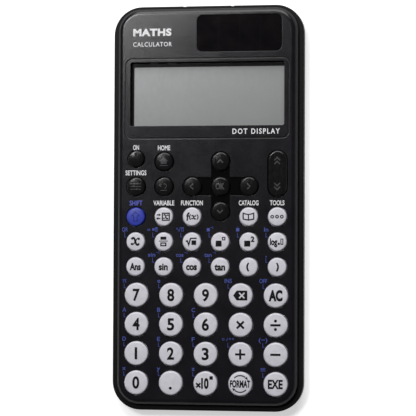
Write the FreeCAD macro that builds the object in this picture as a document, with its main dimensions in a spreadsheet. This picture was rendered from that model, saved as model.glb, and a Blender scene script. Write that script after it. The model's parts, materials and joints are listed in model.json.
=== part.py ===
"""Scientific calculator: a two-shell case, a display, a solar panel and 47 separate keys.

Frame: millimetres, +Z up out of the key face, +Y towards the display, +X to the right of the keys.
The calculator lies on its rubber feet, and the origin is on that surface under the middle of the case.
"""
import FreeCAD
import Part
import Sketcher
import math
import os

doc = FreeCAD.newDocument("calculator")

# ---------------------------------------------------------------------------
# Driving sizes, in millimetres (ratios have no unit)
# ---------------------------------------------------------------------------
SIZES = {
    # case
    "body_width": 77.0,          # across the rim of the rear shell
    "body_length": 162.0,        # along the rim of the rear shell
    "case_height": 9.2,          # underside of the rear shell to the key face
    "body_corner": 11.4,         # corner radius of the rim
    "foot_height": 0.4,          # how far the feet stand out of the case
    "floor_thickness": 1.4,      # floor of the rear shell
    "face_thickness": 1.5,       # key face of the front shell
    "skirt_thickness": 1.3,      # wall round the front shell
    "skirt_overlap": 2.0,        # depth of the skirt inside the rear shell
    "shell_gap": 0.05,           # between the skirt and the rear shell
    "ledge_side": 2.25,          # rim left and right, where a slide-on case runs
    "ledge_top": 1.3,            # rim at the display end
    "ledge_bottom": 2.5,         # rim at the other end
    "ledge_depth": 3.6,          # face down to the rim
    "edge_roll": 2.3,            # rounding round the face
    "base_roll": 1.4,            # rounding under the rear shell
    "rim_roll": 0.5,             # rounding on top of the rim
    "notch_spacing": 19.4,       # between the two latch notches in the top rim
    "notch_width": 1.2,
    "notch_depth": 0.5,
    # key field
    "big_column_margin": 8.25,   # side of the face to the middle of the outer large keys
    "small_column_margin": 7.75,
    "last_row_margin": 8.65,     # lower end of the face to the middle of the last row
    "display_key_margin": 9.05,  # display frame to the middle of the first row
    "cursor_row_ratio": 1.213,   # row steps as multiples of the small row pitch
    "block_row_ratio": 1.13,
    "big_row_ratio": 1.168,
    "big_key_gap": 2.05,         # between neighbouring large keys
    "small_key_gap": 2.53,
    "power_key_radius": 3.3,
    "power_key_drop": 1.1,       # the power key sits above its row by this much
    "key_stand": 1.1,            # key tops above the face
    "key_crown": 0.2,            # rise of the round key tops from their edge to their middle
    "key_travel": 0.9,
    "key_edge": 0.7,             # rounding of the key tops
    "key_clearance": 0.35,       # key to the hole it runs in
    "flange_width": 0.75,        # flange beyond the key under the face
    "flange_thickness": 0.8,
    "flange_gap": 0.05,          # flange to the face at rest
    "stem_radius": 1.6,
    "stem_clearance": 0.05,      # stem to its mat button at the end of the travel
    "rocker_reach": 0.45,        # page rocker beyond the two rows that it spans
    "rocker_drop": 0.65,         # room for the rocker's flange to rise when it tips
    "cursor_recess": 0.7,        # depth of the cross between the cursor keys
    # windows
    "solar_top_margin": 2.85,    # display end of the face to the solar panel
    "solar_right_margin": 6.2,
    "solar_width": 34.1,
    "solar_length": 14.7,
    "solar_corner": 2.2,
    "solar_thickness": 1.0,
    "solar_ledge": 1.6,          # ledge that the panel rests on
    "solar_inset": 0.15,         # panel below the face
    "display_gap": 2.4,          # solar panel to the display frame
    "display_side_margin": 3.1,
    "display_length": 32.4,
    "display_corner": 3.0,
    "groove_width": 0.45,        # groove that frames the display
    "groove_depth": 0.4,
    "lip_roll": 0.15,            # rounding of the groove's and the solar seat's upper edges
    "frame_side": 2.05,          # display frame, left and right of the opening
    "frame_upper": 1.55,
    "frame_lower": 5.25,
    "opening_corner": 0.8,
    "window_lip": 1.2,           # window beyond the opening, under the face
    "window_thickness": 0.7,
    "lcd_lip": 0.6,              # display panel beyond the opening
    "lcd_upper_inset": 0.45,     # its upper edge inside the opening, clear of the contacts
    "lcd_gap": 0.9,              # display panel below the front shell
    "fit_gap": 0.1,              # round a piece in its seat
    # electronics
    "board_gap": 0.8,            # circuit board to the skirt
    "board_standoff": 1.2,
    "board_thickness": 1.2,
    "chip_radius": 7.0,
    "chip_height": 0.8,
    "standoff_radius": 1.5,
    "post_clearance": 0.4,       # board and mat round the screw posts
    "mat_border": 1.2,           # key mat beyond the first row, and its buttons beyond the stems
    "mat_inset": 0.33,           # key mat inside the edge of the board
    "mat_thickness": 0.8,
    "mat_button_height": 0.4,
    # battery
    "cell_radius": 5.8,
    "cell_height": 5.4,
    "cell_cap_radius": 4.6,
    "cell_cap_height": 0.4,
    "cell_clearance": 0.3,
    "cell_cover_gap": 0.15,      # cell above its cover
    "contact_thickness": 0.2,
    "contact_width": 3.0,
    "contact_gap": 0.5,          # strip above the board and past the display window
    "cover_left_margin": 6.75,
    "cover_top_margin": 1.7,
    "cover_width": 23.0,
    "cover_length": 18.0,
    "cover_corner": 2.5,
    "cover_thickness": 1.15,
    "cover_gap": 0.15,
    "tray_border": 1.2,
    "tray_height": 2.8,          # thick part of the floor round the cover
    # screws and feet
    "screw_head_radius": 1.6,
    "screw_head_height": 1.05,
    "screw_shank_radius": 0.75,
    "screw_length": 4.6,
    "screw_clearance": 0.08,
    "screw_recess": 1.2,
    "drive_width": 0.4,
    "drive_depth": 0.6,
    "post_radius": 1.9,
    "post_gap": 0.45,            # upper posts to the skirt
    "post_drop": 10.2,           # upper posts below the display end of the face
    "seat_radius": 2.4,
    "seat_height": 2.4,
    "foot_radius": 3.2,
    "foot_seat": 0.5,            # depth of the feet in the floor
    "foot_edge": 0.25,
    "foot_side_margin": 7.0,
    "foot_top_margin": 28.0,
    "foot_bottom_margin": 9.0,
}

sheet = doc.addObject("Spreadsheet::Sheet", "sizes")
for row, (alias, size) in enumerate(SIZES.items(), start=1):
    sheet.set(f"A{row}", alias)
    sheet.set(f"B{row}", str(size))
    sheet.setAlias(f"B{row}", alias)
doc.recompute()


def cells(text):
    """An expression in which every size name is written as its cell of the sheet."""
    words = []
    word = ""
    for letter in text + " ":
        if letter.isalnum() or letter == "_":
            word += letter
            continue
        words.append(f"sizes.{word}" if word in SIZES else word)
        words.append(letter)
        word = ""
    return "".join(words).strip()


def value(text):
    """The present value of an expression."""
    return float(sheet.evalExpression(cells(text)))


# ---------------------------------------------------------------------------
# Levels and places that several pieces share, as expressions of the sizes
# ---------------------------------------------------------------------------
CASE_LEVEL = "foot_height"
FACE_LEVEL = "(foot_height + case_height)"
FACE_UNDERSIDE = f"({FACE_LEVEL} - face_thickness)"
RIM_LEVEL = f"({FACE_LEVEL} - ledge_depth)"
SKIRT_LEVEL = f"({RIM_LEVEL} - skirt_overlap)"
FLOOR_LEVEL = "(foot_height + floor_thickness)"
BOARD_LEVEL = f"({FLOOR_LEVEL} + board_standoff)"
BOARD_TOP = f"({BOARD_LEVEL} + board_thickness)"
MAT_TOP = f"({BOARD_TOP} + mat_thickness)"
BUTTON_TOP = f"({MAT_TOP} + mat_button_height)"
STEM_LEVEL = f"({BUTTON_TOP} + key_travel + stem_clearance)"
FLANGE_TOP = f"({FACE_UNDERSIDE} - flange_gap)"
SEAT_TOP = "(foot_height + seat_height)"
KEY_TOP = f"({FACE_LEVEL} + key_stand)"

FACE_SIDE = "(body_width / 2 - ledge_side)"
FACE_TOP_END = "(body_length / 2 - ledge_top)"
FACE_LOW_END = "(ledge_bottom - body_length / 2)"
FACE_CORNER = "(body_corner - ledge_side)"
INNER_SIDE = f"({FACE_SIDE} - skirt_thickness)"

SOLAR_TOP = f"({FACE_TOP_END} - solar_top_margin)"
SOLAR_LOW = f"({SOLAR_TOP} - solar_length)"
SOLAR_RIGHT = f"({FACE_SIDE} - solar_right_margin)"
SOLAR_LEFT = f"({SOLAR_RIGHT} - solar_width)"
DISPLAY_SIDE = f"({FACE_SIDE} - display_side_margin)"
DISPLAY_TOP = f"({SOLAR_LOW} - display_gap)"
DISPLAY_LOW = f"({DISPLAY_TOP} - display_length)"
OPENING_SIDE = f"({DISPLAY_SIDE} - frame_side)"
OPENING_TOP = f"({DISPLAY_TOP} - frame_upper)"
OPENING_LOW = f"({DISPLAY_LOW} + frame_lower)"

FIRST_ROW = f"({DISPLAY_LOW} - display_key_margin)"
LAST_ROW = f"({FACE_LOW_END} + last_row_margin)"
ROW_STEPS = "(3 + cursor_row_ratio + block_row_ratio + 3 * big_row_ratio)"
SMALL_PITCH = f"(({FIRST_ROW} - {LAST_ROW}) / {ROW_STEPS})"
BIG_PITCH = f"({SMALL_PITCH} * big_row_ratio)"
SMALL_COLUMN = f"(({FACE_SIDE} - small_column_margin) / 2.5)"
BIG_COLUMN = f"(({FACE_SIDE} - big_column_margin) / 2)"
SMALL_RADIUS = f"((min({SMALL_COLUMN}, {SMALL_PITCH}) - small_key_gap) / 2)"
BIG_RADIUS = f"((min({BIG_COLUMN}, {BIG_PITCH}) - big_key_gap) / 2)"

ROW_2 = f"({FIRST_ROW} - {SMALL_PITCH})"
ROW_3 = f"({ROW_2} - {SMALL_PITCH} * cursor_row_ratio)"
ROW_4 = f"({ROW_3} - {SMALL_PITCH})"
ROW_5 = f"({ROW_4} - {SMALL_PITCH})"
BIG_ROWS = [f"({LAST_ROW} + {BIG_PITCH} * {step})" for step in (3, 2, 1, 0)]


def small_column(number):
    """Middle of one of the six small key columns, 0 at the left."""
    return f"({SMALL_COLUMN} * ({number} - 2.5))"


def big_column(number):
    """Middle of one of the five large key columns, 0 at the left."""
    return f"({BIG_COLUMN} * ({number} - 2))"


ROCKER_X = small_column(5)
ROCKER_Y = f"(({FIRST_ROW} + {ROW_2}) / 2)"
ROCKER_HALF = f"({SMALL_PITCH} / 2 + rocker_reach)"

CURSOR_X = small_column(3)
CURSOR_REACH = SMALL_PITCH

# The round keys: name, x, y and radius.
ROUND_KEYS = [
    ("key_power", small_column(0), f"({FIRST_ROW} + power_key_drop)", "power_key_radius"),
    ("key_home", small_column(1), FIRST_ROW, SMALL_RADIUS),
    ("key_settings", small_column(0), ROW_2, SMALL_RADIUS),
    ("key_back", small_column(1), ROW_2, SMALL_RADIUS),
    ("key_up", CURSOR_X, f"({ROW_2} + {CURSOR_REACH})", SMALL_RADIUS),
    ("key_left", small_column(2), ROW_2, SMALL_RADIUS),
    ("key_ok", CURSOR_X, ROW_2, SMALL_RADIUS),
    ("key_right", small_column(4), ROW_2, SMALL_RADIUS),
    ("key_down", CURSOR_X, f"({ROW_2} - {CURSOR_REACH})", SMALL_RADIUS),
    ("key_shift", small_column(0), ROW_3, SMALL_RADIUS),
    ("key_variable", small_column(1), ROW_3, SMALL_RADIUS),
    ("key_function", small_column(2), ROW_3, SMALL_RADIUS),
    ("key_catalog", small_column(4), ROW_3, SMALL_RADIUS),
    ("key_tools", small_column(5), ROW_3, SMALL_RADIUS),
]
SMALL_BLOCK = [
    (ROW_4, ["unknown", "fraction", "root", "power_of", "square", "logarithm"]),
    (ROW_5, ["answer", "sine", "cosine", "tangent", "left_bracket", "right_bracket"]),
]
for row_place, names in SMALL_BLOCK:
    for column, name in enumerate(names):
        ROUND_KEYS.append((f"key_{name}", small_column(column), row_place, SMALL_RADIUS))
BIG_BLOCK = [
    ["7", "8", "9", "delete", "clear"],
    ["4", "5", "6", "multiply", "divide"],
    ["1", "2", "3", "plus", "minus"],
    ["0", "point", "exponent", "format", "execute"],
]
for row_place, names in zip(BIG_ROWS, BIG_BLOCK):
    for column, name in enumerate(names):
        ROUND_KEYS.append((f"key_{name}", big_column(column), row_place, BIG_RADIUS))

# Case screws: two beside the solar panel, two between the small rows, two between the large rows.
UPPER_POST_X = f"({INNER_SIDE} - post_gap - post_radius)"
UPPER_POST_Y = f"({FACE_TOP_END} - post_drop)"
MIDDLE_POST_X = f"({SMALL_COLUMN} * 2)"
MIDDLE_POST_Y = f"(({ROW_4} + {ROW_5}) / 2)"
LOWER_POST_X = f"({BIG_COLUMN} * 1.5)"
LOWER_POST_Y = f"({LAST_ROW} + {BIG_PITCH} / 2)"
BOARD_POSTS = [
    (f"{side} * {x}", y)
    for x, y in ((MIDDLE_POST_X, MIDDLE_POST_Y), (LOWER_POST_X, LOWER_POST_Y))
    for side in (-1, 1)
]
CASE_POSTS = BOARD_POSTS + [(f"{side} * {UPPER_POST_X}", UPPER_POST_Y) for side in (-1, 1)]

COVER_LEFT = f"(cover_left_margin - {FACE_SIDE})"
COVER_RIGHT = f"({COVER_LEFT} + cover_width)"
COVER_TOP = f"({FACE_TOP_END} - cover_top_margin)"
COVER_LOW = f"({COVER_TOP} - cover_length)"
COVER_Y = f"({COVER_TOP} - cover_length / 2)"
CELL_X = f"({COVER_LEFT} + cell_radius + tray_border + cell_clearance)"
COVER_SCREW_X = f"({COVER_RIGHT} - seat_radius - tray_border)"
CELL_LEVEL = "(foot_height + cover_thickness + cell_cover_gap)"
CELL_TOP = f"({CELL_LEVEL} + cell_height)"

BOARD_SIDE = f"({INNER_SIDE} - board_gap)"
BOARD_LOW_END = f"({FACE_LOW_END} + skirt_thickness + board_gap)"
BOARD_TOP_END = f"({COVER_LOW} - tray_border - board_gap)"
FOOT_SPOTS = [
    (f"{side} * ({FACE_SIDE} - foot_side_margin)", y)
    for y in (f"({FACE_TOP_END} - foot_top_margin)", f"({FACE_LOW_END} + foot_bottom_margin)")
    for side in (-1, 1)
]


# ---------------------------------------------------------------------------
# Sketch and feature helpers
# ---------------------------------------------------------------------------
def new_body(name):
    """A body with its own label, which may hold several separate solids."""
    body = doc.addObject("PartDesign::Body", name)
    body.Label = name
    body.AllowCompound = True
    return body


def new_sketch(body, name, level="0", role="XY_Plane"):
    """A sketch on one of the body's own planes, lifted to a level."""
    sketch = body.newObject("Sketcher::SketchObject", name)
    plane = [item for item in body.Origin.OriginFeatures if item.Role == role][0]
    sketch.AttachmentSupport = [(plane, "")]
    sketch.MapMode = "FlatFace"
    sketch.setExpression("AttachmentOffset.Base.z", cells(level))
    return sketch


def constrain(sketch, expression, kind, *where):
    """A dimension that follows an expression."""
    number = sketch.addConstraint(Sketcher.Constraint(kind, *where, value(expression)))
    sketch.setExpression(f"Constraints[{number}]", cells(expression))


def place_point(sketch, geometry, vertex, x, y):
    """Fixes a vertex at x, y from the sketch origin."""
    constrain(sketch, x, "DistanceX", -1, 1, geometry, vertex)
    constrain(sketch, y, "DistanceY", -1, 1, geometry, vertex)


def draw_circle(sketch, x, y, radius):
    """A circle whose middle and radius follow expressions."""
    middle = FreeCAD.Vector(value(x), value(y), 0)
    circle = Part.Circle(middle, FreeCAD.Vector(0, 0, 1), value(radius))
    geometry = sketch.addGeometry(circle)
    place_point(sketch, geometry, 3, x, y)
    constrain(sketch, radius, "Radius", geometry)


def draw_polygon(sketch, corners):
    """A closed outline of straight edges through corners given as expressions."""
    points = [FreeCAD.Vector(value(x), value(y), 0) for x, y in corners]
    edges = []
    for index, point in enumerate(points):
        following = points[(index + 1) % len(points)]
        edges.append(sketch.addGeometry(Part.LineSegment(point, following)))
    for index, edge in enumerate(edges):
        following = edges[(index + 1) % len(edges)]
        sketch.addConstraint(Sketcher.Constraint("Coincident", edge, 2, following, 1))
        place_point(sketch, edge, 1, *corners[index])


def draw_box(sketch, left, low, right, top):
    """A rectangle between two corners."""
    draw_polygon(sketch, [(left, low), (right, low), (right, top), (left, top)])


def draw_rounded_box(sketch, left, low, right, top, radius):
    """A rectangle with one radius at its four corners."""
    x0, y0, x1, y1 = value(left), value(low), value(right), value(top)
    r = value(radius)
    up = FreeCAD.Vector(0, 0, 1)
    quarter = math.pi / 2
    corners = [(x1 - r, y0 + r, 3), (x1 - r, y1 - r, 0), (x0 + r, y1 - r, 1), (x0 + r, y0 + r, 2)]
    arcs = []
    for x, y, turn in corners:
        circle = Part.Circle(FreeCAD.Vector(x, y, 0), up, r)
        arc = Part.ArcOfCircle(circle, turn * quarter, (turn + 1) * quarter)
        arcs.append(sketch.addGeometry(arc))
    lines = []
    for index, arc in enumerate(arcs):
        following = arcs[(index + 1) % 4]
        start = sketch.getPoint(arc, 2)
        end = sketch.getPoint(following, 1)
        lines.append(sketch.addGeometry(Part.LineSegment(start, end)))
    for index, line in enumerate(lines):
        following = arcs[(index + 1) % 4]
        sketch.addConstraint(Sketcher.Constraint("Tangent", arcs[index], 2, line, 1))
        sketch.addConstraint(Sketcher.Constraint("Tangent", line, 2, following, 1))
        straight = "Vertical" if index % 2 == 0 else "Horizontal"
        sketch.addConstraint(Sketcher.Constraint(straight, line))
    for arc in arcs[1:]:
        sketch.addConstraint(Sketcher.Constraint("Equal", arcs[0], arc))
    constrain(sketch, radius, "Radius", arcs[0])
    constrain(sketch, right, "DistanceX", -1, 1, lines[0], 1)
    constrain(sketch, top, "DistanceY", -1, 1, lines[1], 1)
    constrain(sketch, left, "DistanceX", -1, 1, lines[2], 1)
    constrain(sketch, low, "DistanceY", -1, 1, lines[3], 1)


def draw_slot(sketch, x, y, half_length, radius, upright=True):
    """A slot with round ends; half_length runs from its middle to the middle of an end."""
    step = FreeCAD.Vector(0, 1, 0) if upright else FreeCAD.Vector(1, 0, 0)
    side = FreeCAD.Vector(1, 0, 0) if upright else FreeCAD.Vector(0, -1, 0)
    middle = FreeCAD.Vector(value(x), value(y), 0)
    far = middle + step * value(half_length)
    near = middle - step * value(half_length)
    r = value(radius)
    up = FreeCAD.Vector(0, 0, 1)
    start = 0.0 if upright else -math.pi / 2
    middle_turn = start + math.pi
    end = start + 2 * math.pi
    far_arc = sketch.addGeometry(Part.ArcOfCircle(Part.Circle(far, up, r), start, middle_turn))
    near_arc = sketch.addGeometry(Part.ArcOfCircle(Part.Circle(near, up, r), middle_turn, end))
    left = sketch.addGeometry(Part.LineSegment(far - side * r, near - side * r))
    right = sketch.addGeometry(Part.LineSegment(near + side * r, far + side * r))
    sketch.addConstraint(Sketcher.Constraint("Tangent", far_arc, 2, left, 1))
    sketch.addConstraint(Sketcher.Constraint("Tangent", left, 2, near_arc, 1))
    sketch.addConstraint(Sketcher.Constraint("Tangent", near_arc, 2, right, 1))
    sketch.addConstraint(Sketcher.Constraint("Tangent", right, 2, far_arc, 1))
    sketch.addConstraint(Sketcher.Constraint("Equal", far_arc, near_arc))
    constrain(sketch, radius, "Radius", far_arc)
    reach_x = "0" if upright else half_length
    reach_y = half_length if upright else "0"
    constrain(sketch, f"{x} + {reach_x}", "DistanceX", -1, 1, far_arc, 3)
    constrain(sketch, f"{y} + {reach_y}", "DistanceY", -1, 1, far_arc, 3)
    constrain(sketch, f"{x} - {reach_x}", "DistanceX", -1, 1, near_arc, 3)
    constrain(sketch, f"{y} - {reach_y}", "DistanceY", -1, 1, near_arc, 3)


def draw_crowned_profile(sketch, radius, low, edge, top):
    """Half of a round cap's upright section: its side up to the edge, and a spherical top."""
    r, z0, z1, z2 = value(radius), value(low), value(edge), value(top)
    crown = z2 - z1
    sphere = (r * r + crown * crown) / (2 * crown)
    middle = FreeCAD.Vector(0, z2 - sphere, 0)
    circle = Part.Circle(middle, FreeCAD.Vector(0, 0, 1), sphere)
    start = math.atan2(z1 - middle.y, r)
    corners = [FreeCAD.Vector(0, z2, 0), FreeCAD.Vector(0, z0, 0), FreeCAD.Vector(r, z0, 0),
               FreeCAD.Vector(r, z1, 0)]
    lines = [sketch.addGeometry(Part.LineSegment(a, b)) for a, b in zip(corners, corners[1:])]
    arc = sketch.addGeometry(Part.ArcOfCircle(circle, start, math.pi / 2))
    for first, second in zip(lines, lines[1:]):
        sketch.addConstraint(Sketcher.Constraint("Coincident", first, 2, second, 1))
    sketch.addConstraint(Sketcher.Constraint("Coincident", lines[2], 2, arc, 1))
    sketch.addConstraint(Sketcher.Constraint("Coincident", arc, 2, lines[0], 1))
    sketch.addConstraint(Sketcher.Constraint("PointOnObject", arc, 3, -2))
    place_point(sketch, lines[0], 1, "0", top)
    place_point(sketch, lines[1], 1, "0", low)
    place_point(sketch, lines[2], 1, radius, low)
    place_point(sketch, lines[2], 2, radius, edge)


def revolve(body, name, sketch):
    """A full turn of the sketch about its own upright axis."""
    feature = body.newObject("PartDesign::Revolution", name)
    feature.Profile = sketch
    feature.ReferenceAxis = (sketch, ["V_Axis"])
    feature.Angle = 360
    doc.recompute()
    return feature


def pad(body, name, sketch, height, midplane=False):
    """Material from the sketch upwards, or to both sides of it."""
    feature = body.newObject("PartDesign::Pad", name)
    feature.Profile = sketch
    feature.setExpression("Length", cells(height))
    feature.Midplane = midplane
    doc.recompute()
    return feature


def pocket(body, name, sketch, depth, upwards):
    """A cut from the sketch, upwards or downwards; a cut that removes nothing is an error."""
    before = body.Shape.Volume
    feature = body.newObject("PartDesign::Pocket", name)
    feature.Profile = sketch
    feature.setExpression("Length", cells(depth))
    feature.Reversed = upwards
    doc.recompute()
    if body.Shape.Volume > before - 1e-6:
        raise RuntimeError(f"{name} removes nothing")
    return feature


def round_edges(body, name, radius, chosen):
    """A fillet on the edges of the body's last feature that pass the test."""
    base = body.Tip
    names = [f"Edge{i}" for i, edge in enumerate(base.Shape.Edges, start=1) if chosen(edge)]
    fillet = body.newObject("PartDesign::Fillet", name)
    fillet.Base = (base, names)
    fillet.setExpression("Radius", cells(radius))
    doc.recompute()
    return fillet


def lies_within(level, left, low, right, top):
    """A test for edges that lie flat at a level, within a rectangle."""
    flat = lies_at(level)
    x0, y0, x1, y1 = value(left), value(low), value(right), value(top)
    slack = 1e-4

    def inside(edge):
        box = edge.BoundBox
        across = x0 - slack < box.XMin and box.XMax < x1 + slack
        along = y0 - slack < box.YMin and box.YMax < y1 + slack
        return across and along and flat(edge)

    return inside


def lies_at(level):
    """A test for edges that lie flat at a level."""
    height = value(level)

    def flat(edge):
        box = edge.BoundBox
        return abs(box.ZMin - height) < 1e-4 and abs(box.ZMax - height) < 1e-4

    return flat


# ---------------------------------------------------------------------------
# Rear shell
# ---------------------------------------------------------------------------
def make_rear_shell():
    """The lower half of the case, with its rim, screw seats, battery tray and foot seats."""
    body = new_body("rear_shell")
    outline = new_sketch(body, "rear_outline", CASE_LEVEL)
    draw_rounded_box(outline, "-body_width / 2", "-body_length / 2", "body_width / 2",
                     "body_length / 2", "body_corner")
    pad(body, "rear_block", outline, "case_height - ledge_depth")
    round_edges(body, "rear_base_roll", "base_roll", lies_at(CASE_LEVEL))
    round_edges(body, "rear_rim_roll", "rim_roll", lies_at(RIM_LEVEL))

    cavity = new_sketch(body, "rear_cavity_outline", FLOOR_LEVEL)
    draw_rounded_box(cavity, f"-{FACE_SIDE} - shell_gap", f"{FACE_LOW_END} - shell_gap",
                     f"{FACE_SIDE} + shell_gap", f"{FACE_TOP_END} + shell_gap",
                     f"{FACE_CORNER} + shell_gap")
    pocket(body, "rear_cavity", cavity, "case_height", upwards=True)

    seats = new_sketch(body, "screw_seat_outline", CASE_LEVEL)
    for x, y in CASE_POSTS:
        draw_circle(seats, x, y, "seat_radius")
    pad(body, "screw_seats", seats, "seat_height")
    standoffs = new_sketch(body, "standoff_outline", CASE_LEVEL)
    for x in (f"-{BIG_COLUMN} / 2", f"{BIG_COLUMN} / 2"):
        for y in (BIG_ROWS[1], ROW_5, FIRST_ROW, DISPLAY_TOP + " - board_gap * 5"):
            draw_circle(standoffs, x, y, "standoff_radius")
    pad(body, "board_standoffs", standoffs, "floor_thickness + board_standoff")
    tray = new_sketch(body, "battery_tray_outline", CASE_LEVEL)
    draw_rounded_box(tray, f"{COVER_LEFT} - tray_border", f"{COVER_LOW} - tray_border",
                     f"{COVER_RIGHT} + tray_border", f"{COVER_TOP} + tray_border",
                     "cover_corner + tray_border")
    pad(body, "battery_tray", tray, "tray_height")

    cover_seat = new_sketch(body, "cover_seat_outline", CASE_LEVEL)
    draw_rounded_box(cover_seat, f"{COVER_LEFT} - cover_gap", f"{COVER_LOW} - cover_gap",
                     f"{COVER_RIGHT} + cover_gap", f"{COVER_TOP} + cover_gap",
                     "cover_corner + cover_gap")
    pocket(body, "cover_seat", cover_seat, "cover_thickness + shell_gap", upwards=True)
    bay = new_sketch(body, "cell_bay_outline", CASE_LEVEL)
    draw_circle(bay, CELL_X, COVER_Y, "cell_radius + cell_clearance")
    pocket(body, "cell_bay", bay, "tray_height * 2", upwards=True)
    heads = new_sketch(body, "screw_recess_outline", CASE_LEVEL)
    for x, y in CASE_POSTS:
        draw_circle(heads, x, y, "screw_head_radius + screw_clearance")
    pocket(body, "screw_recesses", heads, "screw_recess", upwards=True)
    shanks = new_sketch(body, "screw_hole_outline", CASE_LEVEL)
    for x, y in CASE_POSTS + [(COVER_SCREW_X, COVER_Y)]:
        draw_circle(shanks, x, y, "screw_shank_radius + screw_clearance")
    pocket(body, "screw_holes", shanks, "tray_height * 2", upwards=True)
    feet = new_sketch(body, "foot_seat_outline", CASE_LEVEL)
    for x, y in FOOT_SPOTS:
        draw_circle(feet, x, y, "foot_radius")
    pocket(body, "foot_seats", feet, "foot_seat", upwards=True)
    notches = new_sketch(body, "rim_notch_outline", RIM_LEVEL)
    for side in (-1, 1):
        middle = f"{side} * notch_spacing / 2"
        draw_box(notches, f"{middle} - notch_width / 2", "body_length / 2 - notch_depth",
                 f"{middle} + notch_width / 2", "body_length / 2 + notch_depth")
    pocket(body, "rim_notches", notches, "skirt_overlap", upwards=False)
    return body


# ---------------------------------------------------------------------------
# Front shell
# ---------------------------------------------------------------------------
def make_front_shell():
    """The key face with its skirt, window seats, key holes and screw posts."""
    body = new_body("front_shell")
    outline = new_sketch(body, "front_outline", SKIRT_LEVEL)
    draw_rounded_box(outline, f"-{FACE_SIDE}", FACE_LOW_END, FACE_SIDE, FACE_TOP_END, FACE_CORNER)
    pad(body, "front_block", outline, "ledge_depth + skirt_overlap")
    round_edges(body, "face_edge_roll", "edge_roll", lies_at(FACE_LEVEL))
    cavity = new_sketch(body, "front_cavity_outline", SKIRT_LEVEL)
    draw_rounded_box(cavity, f"-{INNER_SIDE}", f"{FACE_LOW_END} + skirt_thickness", INNER_SIDE,
                     f"{FACE_TOP_END} - skirt_thickness", f"{FACE_CORNER} - skirt_thickness")
    pocket(body, "front_cavity", cavity, f"{FACE_UNDERSIDE} - {SKIRT_LEVEL}", upwards=True)

    posts = new_sketch(body, "post_outline", SEAT_TOP)
    for x, y in CASE_POSTS:
        draw_circle(posts, x, y, "post_radius")
    pad(body, "screw_posts", posts, f"{FACE_UNDERSIDE} - {SEAT_TOP}")
    pilots = new_sketch(body, "pilot_outline", SEAT_TOP)
    for x, y in CASE_POSTS:
        draw_circle(pilots, x, y, "screw_shank_radius + screw_clearance")
    pocket(body, "pilot_holes", pilots, "screw_length", upwards=True)

    groove = new_sketch(body, "display_groove_outline", FACE_LEVEL)
    draw_rounded_box(groove, f"-{DISPLAY_SIDE}", DISPLAY_LOW, DISPLAY_SIDE, DISPLAY_TOP,
                     "display_corner")
    draw_rounded_box(groove, f"groove_width - {DISPLAY_SIDE}", f"{DISPLAY_LOW} + groove_width",
                     f"{DISPLAY_SIDE} - groove_width", f"{DISPLAY_TOP} - groove_width",
                     "display_corner - groove_width")
    pocket(body, "display_groove", groove, "groove_depth", upwards=False)
    round_edges(body, "groove_lips", "lip_roll",
                lies_within(FACE_LEVEL, f"-{DISPLAY_SIDE}", DISPLAY_LOW, DISPLAY_SIDE, DISPLAY_TOP))
    opening = new_sketch(body, "display_opening_outline", FACE_LEVEL)
    draw_rounded_box(opening, f"-{OPENING_SIDE}", OPENING_LOW, OPENING_SIDE, OPENING_TOP,
                     "opening_corner")
    pocket(body, "display_opening", opening, "face_thickness", upwards=False)
    solar_seat = new_sketch(body, "solar_seat_outline", FACE_LEVEL)
    draw_rounded_box(solar_seat, SOLAR_LEFT, SOLAR_LOW, SOLAR_RIGHT, SOLAR_TOP, "solar_corner")
    pocket(body, "solar_seat", solar_seat, "solar_thickness + solar_inset", upwards=False)
    round_edges(body, "solar_lip", "lip_roll",
                lies_within(FACE_LEVEL, SOLAR_LEFT, SOLAR_LOW, SOLAR_RIGHT, SOLAR_TOP))
    solar_opening = new_sketch(body, "solar_opening_outline", FACE_LEVEL)
    draw_box(solar_opening, f"{SOLAR_LEFT} + solar_ledge", f"{SOLAR_LOW} + solar_ledge",
             f"{SOLAR_RIGHT} - solar_ledge", f"{SOLAR_TOP} - solar_ledge")
    pocket(body, "solar_opening", solar_opening, "face_thickness", upwards=False)

    for name, reach, upright in (("upright", CURSOR_REACH, True), ("level", SMALL_COLUMN, False)):
        arm = new_sketch(body, f"cursor_{name}_outline", FACE_LEVEL)
        draw_slot(arm, CURSOR_X, ROW_2, reach, SMALL_RADIUS, upright)
        pocket(body, f"cursor_{name}_recess", arm, "cursor_recess", upwards=False)
    holes = new_sketch(body, "key_hole_outline", FACE_LEVEL)
    for name, x, y, radius in ROUND_KEYS:
        draw_circle(holes, x, y, f"{radius} + key_clearance")
    draw_slot(holes, ROCKER_X, ROCKER_Y, ROCKER_HALF, f"{SMALL_RADIUS} + key_clearance")
    pocket(body, "key_holes", holes, "face_thickness", upwards=False)
    return body


# ---------------------------------------------------------------------------
# Keys
# ---------------------------------------------------------------------------
def place_body(body, x, y):
    """Puts a body that was made about its own axis at its place on the face."""
    body.setExpression("Placement.Base.x", cells(x))
    body.setExpression("Placement.Base.y", cells(y))


def make_round_key(name, x, y, radius):
    """A round key: stem, flange under the face and a crowned cap with a rounded edge."""
    body = new_body(name)
    profile = new_sketch(body, f"{name}_profile", role="XZ_Plane")
    draw_crowned_profile(profile, radius, f"{FLANGE_TOP} - flange_thickness", f"{KEY_TOP} - key_crown",
                         KEY_TOP)
    revolve(body, f"{name}_cap", profile)
    round_edges(body, f"{name}_edge", "key_edge", lies_at(f"{KEY_TOP} - key_crown"))
    flange = new_sketch(body, f"{name}_flange_outline", f"{FLANGE_TOP} - flange_thickness")
    draw_circle(flange, "0", "0", f"{radius} + flange_width")
    pad(body, f"{name}_flange", flange, "flange_thickness")
    stem = new_sketch(body, f"{name}_stem_outline", STEM_LEVEL)
    draw_circle(stem, "0", "0", "stem_radius")
    pad(body, f"{name}_stem", stem, f"{FLANGE_TOP} - flange_thickness - {STEM_LEVEL}")
    place_body(body, x, y)
    return body


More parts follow.
